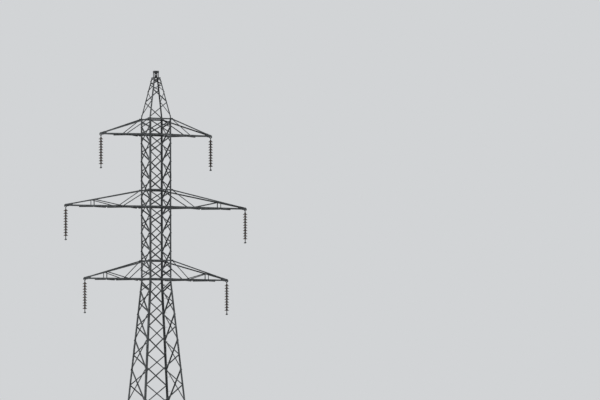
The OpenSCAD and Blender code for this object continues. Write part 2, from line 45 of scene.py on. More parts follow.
ARM_PITCH = 3.86
BASE_HALF = 1.9
CAGE_HALF = 0.62
PEAK_HALF = 0.177
PEAK_H = 2.17
REACH = {"bottom": 4.11, "middle": 5.2, "top": 3.18}
DEPTH = {"bottom": 0.99, "middle": 0.9, "top": 0.84}
# Widths and thicknesses of the angles: legs, crosses, ties, chords
LEG_W, LEG_T = 0.1, 0.01
CAGE_W, CAGE_T = 0.09, 0.008
PEAK_W, PEAK_T = 0.06, 0.006
WEB_W, BRACE_T = 0.058, 0.005
TIE_W = 0.075
CHORD_W, BOOM_W, CHORD_T = 0.075, 0.065, 0.006
# Working gap at every bolted seat, and how far the plates stand out
SEAT_GAP = 0.0003
LAP_T = 0.008
PLAN_T = 0.008
TIP_PLATE_T = 0.011
GUSSET_OUT = 0.008
# Outer face of the cap from its centre, and the rim and post that its bolts go through
CAP_FACE, CAP_GRIP = 0.125, 0.014

# Panel points: the lower ones by their heights, those between two arms as shares of the way, and
# those of the peak by their heights over the cage
LOWER_Z = [0.5, 3.05, 5.35, 7.4, 9.22, 10.83, 12.35, 13.62]
PANEL_SHARES = (0.343, 0.69)
PEAK_FRONT = (0.03, 0.85, 1.53, 1.8, 2.01, 2.14)
PEAK_SIDE = (0.1, 0.9, 1.41, 1.73, 1.97, 2.13)
# The cage runs on past the outermost chords; crosses and lacing end short of their panel points
CAGE_END = 0.06
LOWER_END = 0.06
ARM_E = 0.094
SIDE_E = 0.205
END_GAP = 0.024
PLAN_END_CLEAR = 0.006

# Crossarms: clearances of the chord ends, half width at the tip, height of the top chord's heel and
# where it is measured, and depth of the pin that a string hangs on
LEG_CLEAR, CHORD_CLEAR = 0.002, 0.003
TIP_HALF, TIP_RISE, TIP_BACK = 0.048, 0.07, 0.06
HANG_DROP = 0.12
# Arms shorter than this have one web bar a side
SHORT_ARM = 3.5
# Places of the web bars and of the zigzag under an arm, as shares of the way from the tip to the body
SHORT_FOOT = 0.52
WEB_UPRIGHT, WEB_FOOT = 0.335, 0.68
SHORT_ZIGZAG = (0.93, 0.6, 0.3)
LONG_ZIGZAG = (0.95, 0.75, 0.54, 0.335, 0.17)
ZIGZAG_IN = 0.004
# Height of the web points at the tip, and distance of the last bar's end from the leg corner
WEB_RISE, WEB_ROOT = 0.04, 0.075

# Insulator string, measured down from its pin
DISC_N = 10
DISC_PITCH = 0.146
DISC_R = 0.127
SHELL_DROP = 0.038
SHELL_RIM_R = 0.007
DISC_TOP = 0.135
CAP_H = 0.088
WIRE_DROP = 1.705
WIRE_R = 0.0098
CLAMP_LENGTH, CLAMP_R = 0.28, 0.036
EYE_R = 0.026

# Earth wire clamp, measured down from its pin, which hangs under the top of the cap
EARTH_PIN_DOWN = 0.14
EARTH_DROP = 0.165
EARTH_WIRE_R = 0.007
EARTH_LENGTH, EARTH_R = 0.14, 0.024

# What follows from them
ARMS = ["bottom", "middle", "top"]
LEVEL = {arm: ARM_Z + i * ARM_PITCH for i, arm in enumerate(ARMS)}
CAGE_Z0 = ARM_Z - CAGE_END
CAGE_Z1 = LEVEL["top"] + DEPTH["top"] + CAGE_END
TAPER = (BASE_HALF - CAGE_HALF) / CAGE_Z0
PEAK_TAPER = (CAGE_HALF - PEAK_HALF) / PEAK_H

# The camera stands far off and low, at the left of the front, with a long lens
PHOTO_WIDTH_PX = 600
FOCAL_PX = 5352.6
CAMERA_BEARING = 0.40098
CAMERA_DISTANCE = 285.49
CAMERA_HEIGHT = 3.277
CAMERA_PITCH = 0.05526
CAMERA_YAW = 0.02692
CAMERA_ROLL = -0.00286
SENSOR_MM = 36.0


def half_at(z):
    """Half width of the body over the leg corners: straight taper, parallel cage, peak."""
    if z < CAGE_Z0:
        return CAGE_HALF + (CAGE_Z0 - z) * TAPER
    if z > CAGE_Z1:
        return CAGE_HALF - (z - CAGE_Z1) * PEAK_TAPER
    return CAGE_HALF


def unit(v):
    """A vector, or rows of vectors, at length one."""
    v = np.asarray(v, float)
    return v / np.linalg.norm(v, axis=-1, keepdims=True)


def linear(hex_colour):
    """sRGB hex to linear RGBA."""
    c = np.array([int(hex_colour[i:i + 2], 16) for i in (1, 3, 5)]) / 255
    c = np.where(c <= 0.04045, c / 12.92, ((c + 0.055) / 1.055) ** 2.4)
    return (*c.tolist(), 1.0)


# Materials

def new_material(name):
    """Empty node material with its Principled shader; returns material, tree and shader."""
    mat = bpy.data.materials.new(name)
    mat.use_nodes = True
    return mat, mat.node_tree, mat.node_tree.nodes["Principled BSDF"]


def add(tree, kind, links=(), **settings):
    """Adds a node; settings name its properties or its input sockets, links pairs socket with output."""
    made = tree.nodes.new(kind)
    for key, value in settings.items():
        if hasattr(made, key):
            setattr(made, key, value)
        else:
            made.inputs[key.replace("_", " ")].default_value = value
    for socket, output in links:
        tree.links.new(output, made.inputs[socket])
    return made


def zinc_steel(name, light, mid, dark, grime, rust, metallic, rough):
    """Hot-dip galvanised steel after decades outdoors: a dull dark grey zinc patina with paler
    and darker patches the size of a hand, faint spangle, grime drawn down by the rain, and the
    first brown blooms of rust."""
    mat, tree, shader = new_material(name)
    place = add(tree, "ShaderNodeTexCoord").outputs["Object"]
    # patches are about 140 mm across, and the lots of steel change about every 1.1 m
    patches = add(tree, "ShaderNodeTexNoise", [("Vector", place)], Scale=7.0, Detail=4.0, Roughness=0.6)
    lots = add(tree, "ShaderNodeTexVoronoi", [("Vector", place)], Scale=0.9, feature="F1")
    # spangle is really about 10 mm across; drawn at 25 mm so that it shows
    spangle = add(tree, "ShaderNodeTexVoronoi", [("Vector", place)], Scale=40.0, feature="F1")
    # streaks are about 56 mm wide and 625 mm long
    squeezed = add(tree, "ShaderNodeMapping", [("Vector", place)], Scale=(9.0, 9.0, 0.8))
    streaks = add(tree, "ShaderNodeTexNoise", [("Vector", squeezed.outputs[0])], Scale=2.0, Detail=5.0)
    ramp = add(tree, "ShaderNodeValToRGB", [("Fac", patches.outputs["Fac"])])
    stops = ramp.color_ramp.elements
    stops[0].position, stops[0].color = 0.32, linear(dark)
    stops[1].position, stops[1].color = 0.7, linear(light)
    middle = stops.new(0.5)
    middle.color = linear(mid)
    lot_grey = add(tree, "ShaderNodeRGBToBW", [("Color", lots.outputs["Color"])])
    spangle_grey = add(tree, "ShaderNodeRGBToBW", [("Color", spangle.outputs["Color"])])
    tone = add(tree, "ShaderNodeMixRGB", [("Color1", ramp.outputs[0]), ("Color2", lot_grey.outputs[0])],
               blend_type="SOFT_LIGHT", Fac=0.3)
    fleck = add(tree, "ShaderNodeMixRGB", [("Color1", tone.outputs[0]), ("Color2", spangle_grey.outputs[0])],
                blend_type="SOFT_LIGHT", Fac=0.18)
    soil = add(tree, "ShaderNodeMapRange", [("Value", streaks.outputs["Fac"])],
               From_Min=0.52, From_Max=0.78, To_Max=0.75)
    stained = add(tree, "ShaderNodeMixRGB", [("Fac", soil.outputs[0]), ("Color1", fleck.outputs[0])],
                  Color2=linear(grime))
    # rust starts in coin-sized spots where the zinc has worn through
    worn = add(tree, "ShaderNodeTexNoise", [("Vector", place)], Scale=26.0, Detail=6.0, Roughness=0.7)
    bloom = add(tree, "ShaderNodeMapRange", [("Value", worn.outputs["Fac"])],
                From_Min=0.6, From_Max=0.74, To_Max=rust)
    rusted = add(tree, "ShaderNodeMixRGB", [("Fac", bloom.outputs[0]), ("Color1", stained.outputs[0])],
                 Color2=linear("#5e4330"))
    tree.links.new(rusted.outputs[0], shader.inputs["Base Color"])
    dull = add(tree, "ShaderNodeMapRange", [("Value", patches.outputs["Fac"])],
               To_Min=rough - 0.1, To_Max=rough + 0.14)
    tree.links.new(dull.outputs[0], shader.inputs["Roughness"])
    shader.inputs["Metallic"].default_value = metallic
    # the grain of the zinc skin is really under 1 mm; drawn at 6 mm so that it shows
    height = add(tree, "ShaderNodeTexNoise", [("Vector", place)], Scale=160.0, Detail=3.0)
    bump = add(tree, "ShaderNodeBump", [("Height", height.outputs["Fac"])], Strength=0.18, Distance=0.0015)
    tree.links.new(bump.outputs[0], shader.inputs["Normal"])
    return mat


def glazed_porcelain():
    """Brown-glazed electrical porcelain: dark, glassy, in clouds of darker and paler brown,
    with a film of dust that dulls the upper side."""
    mat, tree, shader = new_material("brown glazed porcelain")
    place = add(tree, "ShaderNodeTexCoord").outputs["Object"]
    # clouds in the glaze are about 70 mm across
    cloud = add(tree, "ShaderNodeTexNoise", [("Vector", place)], Scale=14.0, Detail=3.0)
    ramp = add(tree, "ShaderNodeValToRGB", [("Fac", cloud.outputs["Fac"])])
    stops = ramp.color_ramp.elements
    stops[0].position, stops[0].color = 0.3, linear("#1d110b")
    stops[1].position, stops[1].color = 0.75, linear("#3a2317")
    facing = add(tree, "ShaderNodeNewGeometry").outputs["Normal"]
    up = add(tree, "ShaderNodeSeparateXYZ", [("Vector", facing)])
    dust = add(tree, "ShaderNodeMapRange", [("Value", up.outputs["Z"])], From_Min=0.3, To_Max=0.25)
    dusty = add(tree, "ShaderNodeMixRGB", [("Fac", dust.outputs[0]), ("Color1", ramp.outputs["Color"])],
                Color2=linear("#6a5f55"))
    tree.links.new(dusty.outputs[0], shader.inputs["Base Color"])
    sheen = add(tree, "ShaderNodeMapRange", [("Value", up.outputs["Z"])], To_Min=0.16, To_Max=0.34)
    tree.links.new(sheen.outputs[0], shader.inputs["Roughness"])
    shader.inputs["IOR"].default_value = 1.52
    return mat


def cement_joint():
    """Portland cement that holds a cap on its shell: a pale, matt, gritty ring."""
    mat, tree, shader = new_material("portland cement joint")
    place = add(tree, "ShaderNodeTexCoord").outputs["Object"]
    # the sand is really up to 2 mm across; drawn at 8 mm so that it shows
    grit = add(tree, "ShaderNodeTexNoise", [("Vector", place)], Scale=120.0, Detail=5.0)
    ramp = add(tree, "ShaderNodeValToRGB", [("Fac", grit.outputs["Fac"])])
    stops = ramp.color_ramp.elements
    stops[0].position, stops[0].color = 0.3, linear("#6c685f")
    stops[1].position, stops[1].color = 0.7, linear("#a09c92")
    tree.links.new(ramp.outputs["Color"], shader.inputs["Base Color"])
    shader.inputs["Roughness"].default_value = 0.92
    bump = add(tree, "ShaderNodeBump", [("Height", grit.outputs["Fac"])], Strength=0.4, Distance=0.001)
    tree.links.new(bump.outputs[0], shader.inputs["Normal"])
    return mat


def cast_concrete():
    """Board-cast concrete of the footings: pale grey-buff, mottled, with air holes, the fine
    ridges that boards 100 mm wide leave, and a darker damp foot."""
    mat, tree, shader = new_material("weathered cast concrete")
    place = add(tree, "ShaderNodeTexCoord").outputs["Object"]
    # mottling is about 170 mm across
    mottle = add(tree, "ShaderNodeTexNoise", [("Vector", place)], Scale=6.0, Detail=8.0, Roughness=0.65)
    ramp = add(tree, "ShaderNodeValToRGB", [("Fac", mottle.outputs["Fac"])])
    stops = ramp.color_ramp.elements
    stops[0].position, stops[0].color = 0.3, linear("#77746b")
    stops[1].position, stops[1].color = 0.72, linear("#a8a59b")
    height = add(tree, "ShaderNodeSeparateXYZ", [("Vector", place)])
    damp = add(tree, "ShaderNodeMapRange", [("Value", height.outputs["Z"])],
               From_Max=0.12, To_Min=0.5, To_Max=0.0)
    wet = add(tree, "ShaderNodeMixRGB", [("Fac", damp.outputs[0]), ("Color1", ramp.outputs["Color"])],
              Color2=linear("#4d4b43"))
    tree.links.new(wet.outputs[0], shader.inputs["Base Color"])
    shader.inputs["Roughness"].default_value = 0.88
    # air holes lie about 22 mm apart; the sand, really 2 mm across, is drawn at 4.5 mm to show
    pits = add(tree, "ShaderNodeTexVoronoi", [("Vector", place)], Scale=45.0, feature="SMOOTH_F1")
    grain = add(tree, "ShaderNodeTexNoise", [("Vector", place)], Scale=220.0, Detail=4.0)
    rough = add(tree, "ShaderNodeMath", [(0, pits.outputs["Distance"]), (1, grain.outputs["Fac"])],
                operation="ADD")
    # a sine along the height with a period of 100 mm; only its crests are kept
    wave = add(tree, "ShaderNodeTexWave", [("Vector", place)], bands_direction="Z", Scale=math.pi,
               Distortion=0.6)
    ridge = add(tree, "ShaderNodeMapRange", [("Value", wave.outputs["Fac"])], From_Min=0.95, To_Max=1.6)
    relief = add(tree, "ShaderNodeMath", [(0, rough.outputs[0]), (1, ridge.outputs[0])], operation="ADD")
    bump = add(tree, "ShaderNodeBump", [("Height", relief.outputs[0])], Strength=0.5, Distance=0.004)
    tree.links.new(bump.outputs[0], shader.inputs["Normal"])
    return mat


STEEL = zinc_steel("weathered galvanised angle", "#656869", "#4c4f50", "#383a3b", "#2e2b28", 0.3, 0.4, 0.56)
BOLT_ZINC = zinc_steel("spun galvanised bolts", "#707374", "#5b5e5f", "#444647", "#3a332c", 0.6, 0.5, 0.52)
IRON = zinc_steel("galvanised malleable iron", "#595b5b", "#464849", "#363737", "#302a25", 0.5, 0.45, 0.58)
CEMENT = cement_joint()
PORCELAIN = glazed_porcelain()
CONCRETE = cast_concrete()


# Mesh making

def skin(grid, loop=False):
    """Solid from rings of vertices, grid[ring, place round it]: a quad joins each vertex to the next
    one round its ring and to the same two on the next ring. With loop the last ring meets the
    first; without it flat ends close the solid."""
    rings, around = grid.shape[:2]
    rows = rings if loop else rings - 1
    i = np.arange(rows)[:, None] * around
    j = np.arange(around)[None, :]
    k = (j + 1) % around
    up = (i + around) % (rings * around)
    faces = [np.stack(np.broadcast_arrays(i + j, i + k, up + k, up + j), -1).reshape(-1, 4)]
    if not loop:
        faces.append(np.stack([np.arange(around)[::-1], rows * around + np.arange(around)]))
    return outward(grid.reshape(-1, 3), faces)


def revolve(profile, segments, loop=False):
    """Profile (radius, height) carried round the Z axis: vertex = (r cos u, r sin u, z). With
    loop the profile is a closed ring."""
    profile = np.asarray(profile, float)
    u = np.arange(segments) * 2 * np.pi / segments
    r, z = profile[:, :1], profile[:, 1:]
    return skin(np.stack(np.broadcast_arrays(r * np.cos(u), r * np.sin(u), z), -1), loop)


def sweep(path, radius, segments=10):
    """Round bar along a path: vertex = centre + radius (cos u A + sin u B), where A and B stand
    square to the path and A also stands square to one fixed side."""
    path = np.asarray(path, float)
    along = unit(np.gradient(path, axis=0))
    side = np.array([0.31, 0.17, 0.94]) if abs(along[:, 2]).mean() < 0.6 else np.array([0.94, 0.17, 0.31])
    a = unit(np.cross(along, side))
    b = np.cross(along, a)
    u = np.arange(segments) * 2 * np.pi / segments
    round_it = np.cos(u)[None, :, None] * a[:, None] + np.sin(u)[None, :, None] * b[:, None]
    return skin(path[:, None] + radius * round_it)


def slab(outline, thick, edge=0.0012):
    """Flat plate with eased edges: a convex outline carried from z = 0 to z = thick, drawn in
    by the edge width at both faces."""
    outline = np.asarray(outline, float)
    centre = outline.mean(0)
    inner = outline - unit(outline - centre) * edge
    levels = [(inner, 0.0), (outline, edge), (outline, thick - edge), (inner, thick)]
    return skin(np.stack([np.column_stack([ring, np.full(len(ring), z)]) for ring, z in levels]))


def outward(verts, faces):
    """Turns every face round when the signed volume of the closed solid is negative."""
    volume = sum(
        np.einsum("ij,ij->", verts[f[:, 0]], np.cross(verts[f[:, s]], verts[f[:, s + 1]]))
        for f in faces for s in range(1, f.shape[1] - 1)
    )
    return verts, [f[:, ::-1] for f in faces] if volume < 0 else faces


def moved(shape, origin=(0, 0, 0), rows=None):
    """A shape taken to a new origin; rows are the directions its x, y and z then have."""
    verts, faces = shape
    if rows is not None:
        verts = verts @ np.asarray(rows, float)
        if np.linalg.det(np.asarray(rows, float)) < 0:
            faces = [f[:, ::-1] for f in faces]
    return verts + np.asarray(origin, float), faces


def joined(shapes):
    """Many shapes as one, their face numbers moved on by the vertices before them."""
    verts, faces, start = [], {}, 0
    for v, fs in shapes:
        verts.append(v)
        for f in fs:
            faces.setdefault(f.shape[1], []).append(f + start)
        start += len(v)
    return np.concatenate(verts), [np.concatenate(fs) for fs in faces.values()]


def repeated(shape, origins, frames, scales=None):
    """One shape copied to many places: vertex = origin + scale * (vertex in that frame)."""
    verts, faces = shape
    origins = np.asarray(origins, float)
    scales = np.ones(len(origins)) if scales is None else np.asarray(scales, float)
    placed = np.einsum("vi,kij->kvj", verts, frames) * scales[:, None, None] + origins[:, None]
    step = (np.arange(len(origins)) * len(verts))[:, None, None]
    return placed.reshape(-1, 3), [(f[None] + step).reshape(-1, f.shape[1]) for f in faces]


def piece(name, shape, material, body, smooth=35):
    """Makes the Blender object of a shape, rides it on its body and gives it its finish. Edges
    sharper than the angle smooth, in degrees, stay sharp."""
    verts, faces = shape
    mesh = bpy.data.meshes.new(name)
    mesh.vertices.add(len(verts))
    mesh.vertices.foreach_set("co", verts.astype(np.float32).ravel())
    mesh.loops.add(sum(f.size for f in faces))
    mesh.loops.foreach_set("vertex_index", np.concatenate([f.ravel() for f in faces]).astype(np.int32))
    totals = np.concatenate([np.full(len(f), f.shape[1]) for f in faces])
    mesh.polygons.add(len(totals))
    mesh.polygons.foreach_set("loop_start", np.concatenate([[0], np.cumsum(totals)[:-1]]).astype(np.int32))
    mesh.polygons.foreach_set("use_smooth", np.ones(len(totals), bool))
    mesh.update(calc_edges=True)
    mesh.validate()
    mesh.set_sharp_from_angle(angle=math.radians(smooth))
    mesh.materials.append(material)
    made = bpy.data.objects.new(name, mesh)
    bpy.context.collection.objects.link(made)
    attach(made, body)
    return made


# Bolts

# Half widths over the corners of the heads of 20, 16 and 12 mm bolts
M20, M16, M12 = 0.0173, 0.0139, 0.011
# Distance of the first bolt from the end of a cross angle, and of the next one from it
CROSS_END, BOLT_STEP = 0.02, 0.045
# The same distance in the web angles of the arms and in the lacing and zigzag bars
WEB_END, LACING_END = 0.014, 0.016
# Places of bolts: from the leg corner on the laps and ties, from the ends of the plan bars, from the
# tip corner on the gussets, from the pin on the tip plate, and on the cap
LAP_BOLTS, TIE_BOLT = (0.054, 0.094), 0.04
PLAN_BOLTS, PLAN_EDGE = (0.021, 0.071), 0.03
GUSSET_LOW_BOLTS, GUSSET_TOP_BOLTS = (0.05, 0.12, 0.19), (0.02, 0.08)
TIP_BOLTS_X, TIP_BOLT_Y = (-0.15, -0.105), 0.03
CAP_BOLT_X, CAP_BOLTS_DOWN = 0.09, (0.03, 0.082)
SPLICE_BOLT_X, SPLICE_BOLT_END = 0.021, 0.035


def hexagon_head():
    """Hexagon bolt head of unit radius: six-sided profile with its corners eased at the top."""
    return revolve([(1, 0), (1, 0.55), (0.86, 0.68)], 6)


def nut_and_thread():
    """Hexagon nut of unit radius with the end of the thread standing out of it."""
    return revolve([(1, 0), (1, 0.62), (0.86, 0.74), (0.56, 0.74), (0.54, 1.25)], 6)


def square_frames(normals):
    """For each normal, three rows: a direction across it, the one square to both, and itself."""
    n = unit(normals)
    helper = np.where(np.abs(n[:, 2:3]) < 0.8, [[0.0, 0.0, 1.0]], [[1.0, 0.0, 0.0]])
    x = unit(np.cross(helper, n))
    return np.stack([x, np.cross(n, x), n], 1)


class BoltBag:
    """Gathers bolt heads and nuts of one region, to be made as one mesh."""

    def __init__(self):
        self.heads = []
        self.nuts = []

    def bolt(self, seat, normal, grip, radius):
        """Head on the seat, nut on the far side of the grip."""
        seat, normal = np.asarray(seat, float), unit(normal)
        self.heads.append((seat, normal, radius))
        self.nuts.append((seat - normal * grip, -normal, radius))

    def copied(self, change):
        """Every head and nut again, its place and direction changed by a matrix."""
        other = BoltBag()
        other.heads = [(p @ change, n @ change, r) for p, n, r in self.heads]
        other.nuts = [(p @ change, n @ change, r) for p, n, r in self.nuts]
        return other

    def take(self, other, shift=(0, 0, 0)):
        """Adds another bag's bolts, all moved by the same shift."""
        self.heads += [(p + np.asarray(shift), n, r) for p, n, r in other.heads]
        self.nuts += [(p + np.asarray(shift), n, r) for p, n, r in other.nuts]

    def shape(self):
        """All heads and nuts as one shape."""
        parts = []
        for template, places in ((hexagon_head(), self.heads), (nut_and_thread(), self.nuts)):
            p, n, r = (np.array(x) for x in zip(*places))
            parts.append(repeated(template, p, square_frames(n), r))
        return joined(parts)


def turn_z(degrees):
    """Matrix that turns row vectors about the Z axis."""
    a = math.radians(degrees)
    return np.array([[math.cos(a), math.sin(a), 0], [-math.sin(a), math.cos(a), 0], [0, 0, 1]])


MIRROR_X = np.diag([-1.0, 1.0, 1.0])
MIRROR_Y = np.diag([1.0, -1.0, 1.0])
SWAP_XY = np.array([[0.0, 1, 0], [1, 0, 0], [0, 0, 1]])

# Leg joints: height, length of the plates, width of the flange, rows of bolts
SPLICE_T = 0.008
SPLICE_MARGIN, SPLICE_CUT = 0.012, 0.015
SPLICES = [(5.9, 0.5, LEG_W, 6), (11.2, 0.36, LEG_W, 5), (20.375, 0.26, CAGE_W, 4)]


def panel_bolts(bag, z0, z1, leg, leg_thick, per_end, size):
    """Bolts of one crossed panel of the front face: at both ends of both angles, one behind the
    other along the angle, and a 20 mm one where they cross."""
    h0, h1 = half_at(z0), half_at(z1)
    n = unit([0, -1, (h0 - h1) / (z1 - z0)])
    b0, b1 = h0 - leg / 2, h1 - leg / 2
    outer = SEAT_GAP + BRACE_T
    for side, offset in ((1, outer), (-1, 0.0)):
        p = np.array([-side * b0, -h0, z0])
        q = np.array([side * b1, -h1, z1])
        d = unit(q - p)
        for k in range(per_end):
            step = CROSS_END + BOLT_STEP * k
            bag.bolt(p + d * step + n * offset, n, leg_thick + outer, size)
            bag.bolt(q - d * step + n * offset, n, leg_thick + outer, size)
    cross = (z1 - z0) * b0 / (b0 + b1)
    centre = np.array([0, -h0 + (h0 - h1) / (z1 - z0) * cross, z0 + cross])
    bag.bolt(centre + n * outer, n, leg_thick + 2 * outer, M20)


def midpoints(values):
    """Half way points between neighbours."""
    return [(a + b) / 2 for a, b in zip(values, values[1:])]


CAGE_NODES = []
for arm in ARMS:
    CAGE_NODES += [LEVEL[arm], LEVEL[arm] + DEPTH[arm]]
    if arm != "top":
        low, high = LEVEL[arm] + DEPTH[arm], LEVEL[arm] + ARM_PITCH
        CAGE_NODES += [low + (high - low) * share for share in PANEL_SHARES]
TIE_LEVELS = [z for arm in ARMS for z in (LEVEL[arm], LEVEL[arm] + DEPTH[arm])]
EASE = [ARM_E if z in TIE_LEVELS else 0.0 for z in CAGE_NODES]
FRONT_SPANS = [(a + ea, b - eb) for a, b, ea, eb in zip(CAGE_NODES, CAGE_NODES[1:], EASE, EASE[1:])]
SIDE_NODES = [CAGE_NODES[0] + SIDE_E] + midpoints(CAGE_NODES) + [CAGE_NODES[-1] - SIDE_E]
LOWER_FRONT = LOWER_Z + [CAGE_Z0 - LOWER_END]
LOWER_SIDE = [LOWER_Z[0] + SIDE_E] + midpoints(LOWER_Z) + [(LOWER_Z[-1] + CAGE_Z0) / 2, CAGE_Z0 - SIDE_E]


def lower_body_bolts():
    """Bolts of the tapered body: 20 mm, two at each end of every angle."""
    bag = BoltBag()
    for nodes, turns in ((LOWER_FRONT, (0, 180)), (LOWER_SIDE, (90, -90))):
        face = BoltBag()
        for z0, z1 in zip(nodes, nodes[1:]):
            panel_bolts(face, z0, z1, LEG_W, LEG_T, 2, M20)
        for turn in turns:
            bag.take(face.copied(turn_z(turn)))
    return bag


def cage_bolts():
    """Bolts of the cage: 16 mm, one at each end of the crosses, two on each tie and nine on
    each flat frame in plan."""
    bag = BoltBag()
    for spans, turns in ((FRONT_SPANS, (0, 180)), (list(zip(SIDE_NODES, SIDE_NODES[1:])), (90, -90))):
        face = BoltBag()
        for z0, z1 in spans:
            panel_bolts(face, z0, z1, CAGE_W, CAGE_T, 1, M16)
        if turns[0] == 0:
            for z in TIE_LEVELS:
                for s in (-1, 1):
                    # the head lies on the lap plate, which the tie's bolt goes through too
                    seat = [s * (CAGE_HALF - TIE_BOLT), -CAGE_HALF - LAP_T, z]
                    face.bolt(seat, [0, -1, 0], LAP_T + CAGE_T + BRACE_T, M16)
        for turn in turns:
            bag.take(face.copied(turn_z(turn)))
    inside = CAGE_HALF - CAGE_T
    bar_end = inside - WEB_W - PLAN_END_CLEAR
    for arm in ARMS:
        z = LEVEL[arm] + TIE_W / 2 + SEAT_GAP + PLAN_T
        bag.bolt([0, 0, z], [0, 0, 1], PLAN_T, M16)
        for x in [s * (bar_end - back) for s in (-1, 1) for back in PLAN_BOLTS]:
            for y in (PLAN_EDGE - inside, inside - PLAN_EDGE):
                bag.bolt([x, y, z], [0, 0, 1], PLAN_T + SEAT_GAP + BRACE_T, M16)
    return bag


def peak_bolts():
    """Bolts of the peak lacing and of its cap."""
    bag = BoltBag()
    n = unit([0, -1, PEAK_TAPER])
    for nodes, turns in ((PEAK_FRONT, (0, 180)), (PEAK_SIDE, (90, -90))):
        face = BoltBag()
        for i, (a, b) in enumerate(zip(nodes, nodes[1:])):
            s = -1 if i % 2 == 0 else 1
            z0, z1 = CAGE_Z1 + a + END_GAP, CAGE_Z1 + b - END_GAP
            p = np.array([s * (half_at(z0) - PEAK_W / 2), -half_at(z0), z0])
            q = np.array([-s * (half_at(z1) - PEAK_W / 2), -half_at(z1), z1])
            d = unit(q - p)
            for spot in (p + d * LACING_END, q - d * LACING_END):
                face.bolt(spot + n * (BRACE_T + SEAT_GAP), n, PEAK_T + BRACE_T + SEAT_GAP, M12)
        for turn in turns:
            bag.take(face.copied(turn_z(turn)))
    cap = BoltBag()
    for x in (-CAP_BOLT_X, CAP_BOLT_X):
        for down in CAP_BOLTS_DOWN:
            cap.bolt([x, -CAP_FACE, TOTAL_H - down], [0, -1, 0], CAP_GRIP, M12)
    for turn in (0, 90, 180, 270):
        bag.take(cap.copied(turn_z(turn)))
    return bag


def arm_geometry(arm):
    """Root corner, tip corner, direction and outward normal of the front side of a right hand arm."""
    p = np.array([CAGE_HALF, -CAGE_HALF, 0])
    q = np.array([REACH[arm], -TIP_HALF, 0])
    d = unit(q - p)
    return p, q, d, np.array([d[1], -d[0], 0])


def tip_slope(arm):
    """Slope of an arm's top chord, and the distance from the tip at which its lower edge clears the
    bottom chord."""
    p, q, d, _ = arm_geometry(arm)
    rise, length = DEPTH[arm] + BOOM_W / 2 - TIP_RISE, np.linalg.norm(q - p)
    start = (LEG_CLEAR + CHORD_W * d[1]) / d[0] + BOOM_W * rise / length + CHORD_CLEAR
    slope = rise / (length - start - TIP_BACK)
    return slope, TIP_BACK + (CHORD_W / 2 + BOOM_W + CHORD_CLEAR - TIP_RISE) / slope


def web_lines(arm):
    """Ends of the web angles of one side of an arm, and whether each lies outside the chords."""
    p, q, d, _ = arm_geometry(arm)
    depth = DEPTH[arm]

    def low(f):
        return q + (p - q) * f

    def high(f):
        return low(f) + np.array([0, 0, WEB_RISE + (depth - WEB_RISE) * f])

    root = p + d * WEB_ROOT + np.array([0, 0, depth * (1 - WEB_ROOT / np.linalg.norm(q - p))])
    if REACH[arm] < SHORT_ARM:
        return [(low(SHORT_FOOT), root, False)]
    upright, foot = high(WEB_UPRIGHT), low(WEB_FOOT)
    return [(low(WEB_UPRIGHT), upright, False), (upright, foot, True), (foot, root, False)]


def plan_lines(arm):
    """Ends of the zigzag bars under an arm, and of the cross bar next to the body."""
    reach, z = REACH[arm], -CHORD_W / 2 - SEAT_GAP
    shares = SHORT_ZIGZAG if reach < SHORT_ARM else LONG_ZIGZAG

    def edge(share, shift, side):
        x = reach + (CAGE_HALF - reach) * share + shift
        wide = TIP_HALF + (CAGE_HALF - TIP_HALF) * (reach - x) / (reach - CAGE_HALF)
        return np.array([x, side * (wide - CHORD_W / 2 - ZIGZAG_IN), z])

    lines = [(edge(shares[0], -2 * END_GAP, -1), edge(shares[0], -2 * END_GAP, 1))]
    for i, (a, b) in enumerate(zip(shares, shares[1:])):
        side = 1 if i % 2 == 0 else -1
        lines.append((edge(a, END_GAP, side), edge(b, -END_GAP, -side)))
    return lines


def arm_bolts(arm):
    """Bolts of one right hand arm: web ends, lap plates, tip gussets, plan bars, tip plate."""
    side = BoltBag()
    p, q, d, n = arm_geometry(arm)
    for a, b, outside in web_lines(arm):
        along = unit(b - a)
        lift = SEAT_GAP + BRACE_T if outside else 0.0
        for spot in (a + along * WEB_END, b - along * WEB_END):
            side.bolt(spot + n * lift, n, CHORD_T + BRACE_T + SEAT_GAP, M12)
    for z in (0, DEPTH[arm]):
        for s in LAP_BOLTS:
            side.bolt(p + d * s + n * LAP_T + np.array([0, 0, z]), n, LAP_T + CHORD_T, M16)
    slope, run = tip_slope(arm)
    for s in GUSSET_LOW_BOLTS:
        side.bolt(q - d * s + n * GUSSET_OUT, n, GUSSET_OUT + CHORD_T, M16)
    for s in GUSSET_TOP_BOLTS:
        rise = TIP_RISE + slope * (run + s - TIP_BACK) - BOOM_W / 2
        side.bolt(q - d * (run + s) + n * GUSSET_OUT + np.array([0, 0, rise]), n, GUSSET_OUT + CHORD_T, M16)
    bag = BoltBag()
    bag.take(side)
    bag.take(side.copied(MIRROR_Y))
    down = np.array([0, 0, -1.0])
    for a, b in plan_lines(arm):
        along = unit(b - a)
        for spot in (a + along * LACING_END, b - along * LACING_END):
            bag.bolt(spot + down * BRACE_T, down, BRACE_T + SEAT_GAP + CHORD_T, M12)
    for x in TIP_BOLTS_X:
        for y in (-TIP_BOLT_Y, TIP_BOLT_Y):
            seat = [REACH[arm] + x, y, -CHORD_W / 2 - TIP_PLATE_T]
            bag.bolt(seat, down, TIP_PLATE_T + CHORD_T, M16)
    return bag


def bolt_piece(name, bag):
    """Makes the object of a bag of bolts."""
    piece(name, bag.shape(), BOLT_ZINC, "tower", 25)


